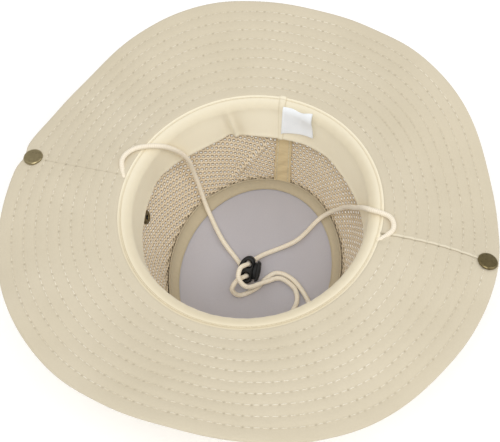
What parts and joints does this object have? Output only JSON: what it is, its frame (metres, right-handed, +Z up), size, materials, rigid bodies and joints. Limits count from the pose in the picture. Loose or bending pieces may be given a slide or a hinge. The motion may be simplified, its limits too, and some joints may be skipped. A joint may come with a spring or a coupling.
{
  "type": "wide-brim sun hat",
  "caption": "Soft wide-brim sun hat upside down on its crown: row-stitched brim, net crown wall, cloth sweatband, lined tip, brim snaps and a chin cord with a sprung cord lock.",
  "frame": {"origin": "on the flat outside of the crown's tip, which the hat lies on upside down, under the axis of the head opening", "axes": "+Z up, out of the head opening; +Y to the wearer's back, -Y to the front; +X to the wearer's right"},
  "size_m": [0.3351, 0.3471, 0.13],
  "materials": {
    "brim_cloth": "matt woven cotton canvas in warm beige, topstitched",
    "sweatband_cloth": "matt smooth cotton in light cream",
    "crown_net": "matt knitted polyester net in tan, open mesh",
    "tip_lining": "matt fine lining cloth in warm grey",
    "binding_tape": "matt woven tape in khaki",
    "label_cloth": "smooth white label cloth, bare",
    "chin_cord": "matt round braided cotton cord in cream",
    "aged_brass": "satin, darkened",
    "lock_plastic": "satin moulded black"
  },
  "bodies": {
    "hat": {"brim_back": "brim_cloth", "brim_front": "brim_cloth", "snap_cap_right": "aged_brass", "snap_cap_left": "aged_brass", "snap_socket_right": "aged_brass", "snap_socket_left": "aged_brass", "crown_base_band": "brim_cloth", "crown_net": "crown_net", "crown_stud_right": "aged_brass", "crown_stud_left": "aged_brass", "eyelet_right": "aged_brass", "eyelet_left": "aged_brass", "sweatband": "sweatband_cloth", "care_label": "label_cloth", "crown_tip": "brim_cloth", "tip_lining": "tip_lining", "tip_binding": "binding_tape", "back_strip": "binding_tape", "cord_lock_barrel": "lock_plastic", "chin_cord": "chin_cord"},
    "cord_lock_button": {"cord_lock_button": "lock_plastic"}
  },
  "joints": [
    {"name": "cord_lock_press", "type": "slide", "parent": "hat", "child": "cord_lock_button", "axis": [-0.9976, -0.0698, 0], "range_m": [0, 0.002], "stiffness_N_per_m": 400, "springref_m": -0.001}
  ]
}
